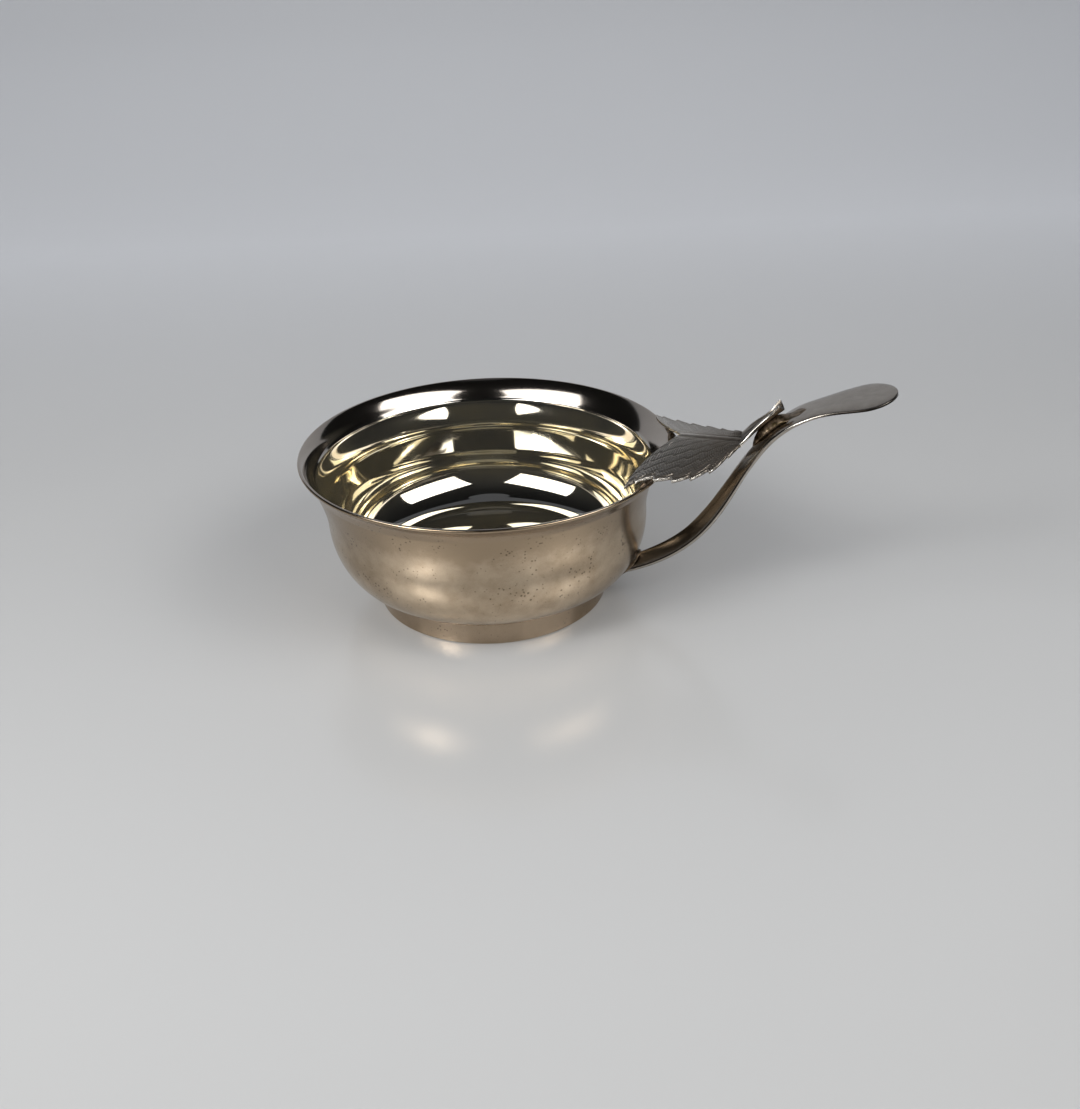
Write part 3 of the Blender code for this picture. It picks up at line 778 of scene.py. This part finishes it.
def polished_silver(finish):
    """Silver, raised and polished: a mirror with faint waves, scratches and a yellow film on the wall.

    The scratches are drawn coarser than real ones, so that they show.
    """
    material, add, shader, place = new_material("polished silver")
    height = add("SeparateXYZ", {0: place}, output="Z")
    wall = add("MapRange", {0: height, 1: 9 * MM, 2: 17 * MM}, **SOFT)
    lip = add("MapRange", {0: height, 1: 36 * MM, 2: 38.5 * MM, 3: 1.0, 4: 0.0}, **SOFT)
    clouds = add("TexNoise", {"Vector": place, "Scale": per_mm(14), "Detail": 4.0})
    stained = add("Math", {0: wall, 1: lip}, operation="MULTIPLY")
    patchy = add("MapRange", {0: clouds, 1: 0.3, 2: 0.65, 3: 0.45})
    tarnish = add("Math", {0: stained, 1: patchy}, operation="MULTIPLY")
    wall_tint = add("Mix", {0: tarnish, 6: finish.polished, 7: finish.yellowed}, **COLOURS)
    on_lip = add("MapRange", {0: height, 1: 37.6 * MM, 2: 38.6 * MM})
    tint = add("Mix", {0: on_lip, 6: wall_tint, 7: finish.lip}, **COLOURS)
    wiped = add("Mapping", {0: place, "Rotation": (0.2, 0.4, 0.6), "Scale": (1, 1, 0.04)})
    scratch = add("TexNoise", {"Vector": wiped, "Scale": per_mm(0.5), "Detail": 3.0})
    worn_lip = add("MapRange", {0: height, 1: 37 * MM, 2: 39 * MM, 4: 0.07})
    haze = add("Math", {0: tarnish, 1: 0.02, 2: worn_lip}, operation="MULTIPLY_ADD")
    rough = add("Math", {0: scratch, 1: 0.07, 2: haze}, operation="MULTIPLY_ADD")
    film = add("MapRange", {0: tarnish, 3: 1.0, 4: 0.93})
    waves = add("TexNoise", {"Vector": place, "Scale": per_mm(9), "Detail": 1.0})
    bump = add("Bump", {"Height": waves, "Strength": 0.02, "Distance": 0.3 * MM})
    feed(shader, {"Metallic": film, "Base Color": tint, "Roughness": rough, "Normal": bump})
    return material


def satin_silver(name, finish, clean, pit_amount, roughness, joint_shade):
    """Silver with a worn satin finish: soft gloss, cloudy tarnish, small dirty pits and wiping scratches.

    It is painted darker under the lip, as shade, and the bowl is painted dark where it meets the foot, as
    shade in that corner. The scratches are drawn coarser than real ones, so that they show.
    """
    material, add, shader, place = new_material(name)
    height = add("SeparateXYZ", {0: place}, output="Z")
    # Painted shade: the wall under the lip is darkened towards the dulled colour.
    painted_shade_under_lip = add("MapRange", {0: height, 1: 26 * MM, 2: 37 * MM, 4: 0.85}, **SOFT)
    clouds = add("TexNoise", {"Vector": place, "Scale": per_mm(4), "Detail": 9.0, "Roughness": 0.75})
    patch = add("MapRange", {0: clouds, 1: 0.35, 2: 0.7, 4: 0.65})
    broad = add("TexNoise", {"Vector": place, "Scale": per_mm(16), "Detail": 3.0})
    stain = add("MapRange", {0: broad, 1: 0.45, 2: 0.65, 4: 0.5})
    cloudy = add("Math", {0: patch, 1: stain}, operation="ADD")
    dull_and_shade = add("Math", {0: cloudy, 1: painted_shade_under_lip}, operation="ADD")
    # Painted shade: the bowl is painted dark just above the foot, in the corner between them.
    joint = add("MapRange", {0: height, 1: 9 * MM, 2: 7.1 * MM, 4: joint_shade}, **SOFT)
    body = add("Mix", {0: dull_and_shade, 6: clean, 7: finish.dulled_and_shade}, **COLOURS)
    spots = add("TexVoronoi", {"Vector": place, "Scale": per_mm(1.1)}, output="Distance")
    where = add("TexNoise", {"Vector": place, "Scale": per_mm(6), "Detail": 3.0})
    size = add("MapRange", {0: where, 1: 0.4, 2: 0.7, 4: pit_amount})
    pit = add("Math", {0: spots, 1: size}, operation="LESS_THAN")
    speck = add("Math", {0: pit, 1: 0.65}, operation="MULTIPLY")
    dirt_and_shade = add("Math", {0: speck, 1: joint}, operation="MAXIMUM")
    tint = add("Mix", {0: dirt_and_shade, 6: body, 7: finish.pits}, **COLOURS)
    wiped = add("Mapping", {0: place, "Rotation": (0.5, 0.3, 0.9), "Scale": (1, 0.05, 1)})
    scratch = add("TexNoise", {"Vector": wiped, "Scale": per_mm(0.35), "Detail": 4.0})
    rough = add("Math", {0: patch, 1: 0.07, 2: roughness}, operation="MULTIPLY_ADD")
    relief = add("Math", {0: pit, 1: -1.5, 2: scratch}, operation="MULTIPLY_ADD")
    bump = add("Bump", {"Height": relief, "Strength": 0.25, "Distance": 0.05 * MM})
    feed(shader, {"Metallic": 1, "Base Color": tint, "Roughness": rough, "Normal": bump})
    return material


def forged_silver(finish):
    """Silver, forged and rubbed by hands: grey-brown tarnish and dirt, and paler where it is held.

    Most of its light and dark along the strap is painted reflection, shade and highlight.
    """
    material, add, shader, place = new_material("forged silver")
    wear = add("Attribute", output="Fac", attribute_name="wear")
    grain = add("TexNoise", {"Vector": place, "Scale": per_mm(2.2), "Detail": 8.0, "Roughness": 0.65})
    rubbed_and_lit = add("Math", {0: grain, 1: wear}, operation="ADD")
    hollow = add("MapRange", {0: rubbed_and_lit, 1: -1.0, 2: 0.65})
    bright = add("MapRange", {0: rubbed_and_lit, 1: 0.8, 2: 1.5})
    body = add("Mix", {0: hollow, 6: finish.dirt_and_shade, 7: finish.forged}, **COLOURS)
    tint = add("Mix", {0: bright, 6: body, 7: finish.worn_edge_and_highlight}, **COLOURS)
    rough = add("MapRange", {0: rubbed_and_lit, 1: -1.0, 2: 1.2, 3: 0.3, 4: 0.16})
    bump = add("Bump", {"Height": grain, "Strength": 0.1, "Distance": 0.1 * MM})
    feed(shader, {"Metallic": 1, "Base Color": tint, "Roughness": rough, "Normal": bump})
    return material


def oxidised_silver(finish):
    """Silver darkened with sulphur and rubbed back: dark in the chased lines, bright where it is worn.

    The stalk's channel also carries painted shade.
    """
    material, add, shader, place = new_material("oxidised silver")
    wear = add("Attribute", output="Fac", attribute_name="wear")
    grain = add("TexNoise", {"Vector": place, "Scale": per_mm(0.9), "Detail": 5.0})
    rubbed_and_lit = add("Math", {0: grain, 1: 0.8, 2: wear}, operation="MULTIPLY_ADD")
    hollow = add("MapRange", {0: rubbed_and_lit, 1: -0.3, 2: 0.55})
    bright = add("MapRange", {0: rubbed_and_lit, 1: 0.7, 2: 1.7})
    body = add("Mix", {0: hollow, 6: finish.shadowed, 7: finish.oxidised}, **COLOURS)
    tint = add("Mix", {0: bright, 6: body, 7: finish.worn_edge_and_highlight}, **COLOURS)
    rough = add("MapRange", {0: rubbed_and_lit, 2: 1.6, 3: 0.46, 4: 0.2})
    bump = add("Bump", {"Height": grain, "Strength": 0.2, "Distance": 0.05 * MM})
    feed(shader, {"Metallic": 1, "Base Color": tint, "Roughness": rough, "Normal": bump})
    return material


def hard_solder(finish):
    """Silver solder as it ran: dull, mottled with green and brown, and grainy."""
    material, add, shader, place = new_material("hard solder")
    mottle = add("TexNoise", {"Vector": place, "Scale": per_mm(1.2), "Detail": 5.0})
    stain = add("MapRange", {0: mottle, 1: 0.4, 2: 0.62})
    tint = add("Mix", {0: stain, 6: finish.solder, 7: finish.solder_stain}, **COLOURS)
    bump = add("Bump", {"Height": mottle, "Strength": 0.5, "Distance": 0.15 * MM})
    feed(shader, {"Metallic": 1, "Base Color": tint, "Roughness": 0.45, "Normal": bump})
    return material


def pale_table(stage):
    """Pale satin acrylic sheet with a faint unevenness of tone.

    It glows more the further it lies behind the dish: painted light that brightens the back of the table.
    """
    material, add, shader, place = new_material("pale acrylic table")
    cloud = add("TexNoise", {"Vector": place, "Scale": per_mm(300)})
    shade = add("MapRange", {0: cloud, 3: 0.96, 4: 1.02})
    tint = add("VectorMath", {0: stage.floor[:3], "Scale": shade}, operation="SCALE")
    square = add("Mapping", {0: place, "Rotation": (0, 0, -stage.turn)})
    away = add("SeparateXYZ", {0: square}, output="Y")
    # Painted light: the table glows more the further it lies behind the dish.
    painted_glow = add("MapRange", {0: away, 1: 0.02, 2: 0.5, 4: 0.3}, **SOFT)
    feed(shader, {"Base Color": tint, "Roughness": 0.2, "IOR": 1.8})
    feed(shader, {"Emission Color": stage.surround, "Emission Strength": painted_glow})
    return material


def dark_card():
    """Matt card that darkens upwards, from grey near the table to near black overhead."""
    material, add, shader, place = new_material("matt grey card")
    height = add("SeparateXYZ", {0: place}, output="Z")
    part = add("MapRange", {0: height, 1: 0.05, 2: 0.34}, **SOFT)
    tint = add("Mix", {0: part, 6: linear("6E6D63"), 7: linear("1C1C1B")}, **COLOURS)
    feed(shader, {"Base Color": tint, "Roughness": 0.9})
    return material


def toward(turn, rise):
    """Direction from the dish at a turn from its front and a rise above the table."""
    return Vector((np.sin(turn) * np.cos(rise), -np.cos(turn) * np.cos(rise), np.sin(rise)))


class DISH_OT_bowl(Operator):
    """Turn the raised bowl: satin outside, polished inside"""

    bl_idname = "dish.bowl"
    bl_label = "Bowl"

    def execute(self, context):
        sizes, finish = context.scene.dish_bowl, context.scene.dish_finish
        profile = bowl_profile(sizes)
        points = turned(profile)
        height = points[..., 2]
        # The crease lies off centre, away from the handle and towards the front.
        off_centre = sizes.crease_shift * step_up(sizes.foot_height, sizes.crease_height, height)
        off_centre *= step_down(sizes.crease_height, sizes.rim_height, height)
        points -= off_centre[..., None] * np.array([0.95, 0.31, 0])
        faces = grid_faces(points.shape, True)[:, ::-1]
        inside = np.repeat(np.arange(len(profile) - 1) >= len(profile) // 2, AROUND)
        satin = satin_silver(
            "satin silver", finish, finish.satin, pit_amount=0.3, roughness=0.19, joint_shade=0.6
        )
        metals = [satin, polished_silver(finish)]
        new_piece("raised_bowl", "bowl", "satin_silver", points, faces, metals, inside)
        return {"FINISHED"}


class DISH_OT_foot(Operator):
    """Turn the foot ring with its softened edges"""

    bl_idname = "dish.foot"
    bl_label = "Foot ring"

    def execute(self, context):
        sizes, finish = context.scene.dish_bowl, context.scene.dish_finish
        inner, top = sizes.foot_radius - sizes.foot_wall, sizes.foot_height - PIECE_GAP
        taper = 0.3 * MM
        corners = [(inner, 0), (sizes.foot_radius, 0), (sizes.foot_radius - taper, top), (inner, top)]
        points = closed_ring(rounded(corners, 0.45 * MM, 8))
        faces = grid_faces(points.shape, True)[:, ::-1]
        worn = satin_silver(
            "worn silver", finish, finish.foot, pit_amount=0.28, roughness=0.18, joint_shade=0.0
        )
        new_piece("turned_foot", "foot_ring", "worn_silver", points, faces, [worn])
        return {"FINISHED"}


class DISH_OT_strap(Operator):
    """Carry the forged bar along its line, out to the thumb piece"""

    bl_idname = "dish.strap"
    bl_label = "Strap"

    def execute(self, context):
        scene = context.scene
        points, wear = strap_surface(scene.dish_bowl, scene.dish_strap, rows=320, sides=96)
        # The root's end is closed in one point.
        start = points[:1].mean(1, keepdims=True).repeat(points.shape[1], 1)
        points = np.concatenate([start, points])
        wear = np.concatenate([wear[:1], wear])
        faces = grid_faces(points.shape, True)
        metal = forged_silver(scene.dish_finish)
        new_piece("forged_strap", "handle_strap", "forged_silver", points, faces, [metal], wear=wear)
        return {"FINISHED"}


class DISH_OT_leaf(Operator):
    """Fold and chase the leaf from one sheet, with its channelled stalk"""

    bl_idname = "dish.leaf"
    bl_label = "Leaf"

    def execute(self, context):
        scene = context.scene
        leaf = scene.dish_leaf
        middle, relief, wear = leaf_surface(
            scene.dish_bowl, scene.dish_strap, leaf, stalk_rows=60, blade_rows=260, columns=140
        )
        normal = unit(np.cross(np.gradient(middle, axis=0), np.gradient(middle, axis=1)))
        normal *= np.sign(normal[..., 2:3])
        top = middle + normal * (leaf.sheet / 2 + relief - leaf.vein)[..., None]
        under = middle - normal * leaf.sheet / 2
        # The underside is worn only along its two edges.
        wear_under = np.zeros_like(wear)
        wear_under[:, [0, -1]] = wear[:, [0, -1]]
        wear = np.stack([wear, wear_under])
        points = np.stack([top, under])
        faces = sheet_faces(middle.shape)
        metal = oxidised_silver(scene.dish_finish)
        new_piece("chased_leaf", "leaf", "oxidised_silver", points, faces, [metal], wear=wear)
        return {"FINISHED"}


class DISH_OT_solder(Operator):
    """Run the solder: under the foot, round the strap's root, under the lobes and under the stalk"""

    bl_idname = "dish.solder"
    bl_label = "Solder"

    def execute(self, context):
        scene = context.scene
        bowl, strap, leaf = scene.dish_bowl, scene.dish_strap, scene.dish_leaf
        metal = hard_solder(scene.dish_finish)
        runs = (
            ("foot_fillet", "foot_solder", foot_fillet(bowl)),
            ("root_bead", "strap_root_solder", root_bead(bowl, strap)),
            ("lobe_bead_front", "leaf_solder_front", lobe_bead(bowl, leaf, -1)),
            ("lobe_bead_back", "leaf_solder_back", lobe_bead(bowl, leaf, 1)),
            ("stalk_run", "stalk_solder", stalk_run(bowl, strap, leaf)),
        )
        for name, node, points in runs:
            new_piece(name, node, "hard_solder", points, grid_faces(points.shape, True), [metal])
        return {"FINISHED"}


class DISH_OT_stage(Operator):
    """Lay the table, light it and place the camera"""

    bl_idname = "dish.stage"
    bl_label = "Stage"

    def execute(self, context):
        scene = context.scene
        stage = scene.dish_stage
        self.lay_table(stage)
        self.light(scene, stage)
        self.place_camera(scene, stage)
        return {"FINISHED"}

    def lay_table(self, stage):
        """A pale sheet that lies flat under the dish and curves up behind it, square to the camera."""
        flat, curve, wall = 0.39, 0.4, 1.2
        bend = np.linspace(0, np.pi / 2, 32)
        away = np.concatenate([[-6.0, -1.0], flat + curve * np.sin(bend), [flat + curve]])
        height = np.concatenate([[0, 0], curve * (1 - np.cos(bend)), [wall]])
        beside = np.array([-6.0, 6.0])
        x = AXIS_X + beside * np.cos(stage.turn) - away[:, None] * np.sin(stage.turn)
        y = beside * np.sin(stage.turn) + away[:, None] * np.cos(stage.turn)
        points = np.stack([x, y, np.repeat(height[:, None], 2, 1)], -1)
        faces = grid_faces(points.shape, False)[:, ::-1]
        table = new_object("table", points, faces, [pale_table(stage)])

    def light(self, scene, stage):
        """A soft box with a hot centre on each side of the camera, a dark card and a pale surround."""
        world = bpy.data.worlds.new("pale surround")
        world.use_nodes = True
        feed(world.node_tree.nodes["Background"], {"Color": stage.surround, "Strength": 0.13})
        scene.world = world
        for beside, above, size, power in SOFT_BOXES:
            away = toward(stage.turn + np.radians(beside), np.radians(above))
            self.soft_box(scene, away, size, power)
        self.hang_card(stage)

    def soft_box(self, scene, away, size, power):
        """A rectangle of light aimed at the dish and hidden from the camera; a small one hangs nearer."""
        reach = 0.6 + 0.04 * size[0]
        lamp = bpy.data.lights.new("soft_box", "AREA")
        lamp.shape = "RECTANGLE"
        lamp.size, lamp.size_y = size
        lamp.energy = power
        box = bpy.data.objects.new("soft_box", lamp)
        box.location = Vector((AXIS_X, 0, 0.02)) + away * reach
        box.rotation_euler = away.to_track_quat("Z", "Y").to_euler()
        box.visible_camera = False
        scene.collection.objects.link(box)

    def hang_card(self, stage):
        """A dark curved card round the camera's side, part of a sphere, seen only in reflections."""
        reach, half_turn = 1.1, np.radians(134)
        turn = np.linspace(-1, 1, 60)[None] * half_turn + stage.turn
        rise = np.linspace(np.radians(3), np.radians(82), 24)[:, None]
        x = reach * np.sin(turn) * np.cos(rise) + AXIS_X
        y = -reach * np.cos(turn) * np.cos(rise)
        z = reach * np.sin(rise) + 0 * turn
        points = np.stack([x, y, z], -1)
        faces = grid_faces(points.shape, False)
        card = new_object("dark_card", points, faces, [dark_card()], smooth=False)
        card.visible_camera = False
        card.visible_diffuse = False
        card.visible_shadow = False

    def place_camera(self, scene, stage):
        """Turn, raise and roll the camera so that the bowl's axis on the table lands on its pixel."""
        away = toward(stage.turn, stage.elevation)
        right = Vector((np.cos(stage.turn), np.sin(stage.turn), 0))
        basis = Matrix((right, right.cross(-away), -away))
        rolled = Matrix.Rotation(stage.roll, 3, "Z") @ basis
        column = (stage.axis_column - PHOTO_COLUMNS / 2) / stage.focal
        row = (PHOTO_ROWS / 2 - stage.axis_row) / stage.focal
        aim = Vector((0, 0, 1)).rotation_difference(Vector((column, row, 1)))
        seen = aim.to_matrix() @ rolled
        seen[2] = -seen[2]
        lens = bpy.data.cameras.new("camera")
        lens.sensor_width = 36
        lens.lens = stage.focal * lens.sensor_width / PHOTO_ROWS
        lens.clip_start = 0.01
        camera = bpy.data.objects.new("camera", lens)
        place = Vector((AXIS_X, 0, 0)) + away * stage.distance
        camera.matrix_world = Matrix.Translation(place) @ seen.transposed().to_4x4()
        scene.collection.objects.link(camera)
        scene.camera = camera


class DISH_PT_sidebar(Panel):
    """Sizes, colours and makers of the dish"""

    bl_idname = "DISH_PT_sidebar"
    bl_label = "Silver dish"
    bl_space_type = "VIEW_3D"
    bl_region_type = "UI"
    bl_category = "Dish"

    def draw(self, context):
        for group in GROUPS:
            settings = getattr(context.scene, group)
            box = self.layout.box()
            for name in settings.__annotations__:
                box.prop(settings, name)
        for operator in OPERATORS:
            self.layout.operator(operator.bl_idname)


OPERATORS = (DISH_OT_bowl, DISH_OT_foot, DISH_OT_strap, DISH_OT_leaf, DISH_OT_solder, DISH_OT_stage)
GROUPS = {
    "dish_bowl": DishBowlSizes,
    "dish_strap": DishStrapSizes,
    "dish_leaf": DishLeafSizes,
    "dish_finish": DishFinishes,
    "dish_stage": DishStageSettings,
}


def register():
    for item in (*GROUPS.values(), *OPERATORS, DISH_PT_sidebar):
        bpy.utils.register_class(item)
    for name, group in GROUPS.items():
        setattr(bpy.types.Scene, name, bpy.props.PointerProperty(type=group))


def unregister():
    for name in GROUPS:
        delattr(bpy.types.Scene, name)
    for item in (DISH_PT_sidebar, *reversed(OPERATORS), *GROUPS.values()):
        bpy.utils.unregister_class(item)


def main():
    register()
    bpy.context.scene.view_settings.view_transform = "Standard"
    bpy.ops.dish.stage()
    bpy.ops.dish.bowl()
    bpy.ops.dish.foot()
    bpy.ops.dish.strap()
    bpy.ops.dish.leaf()
    bpy.ops.dish.solder()


if __name__ == "__main__":
    main()
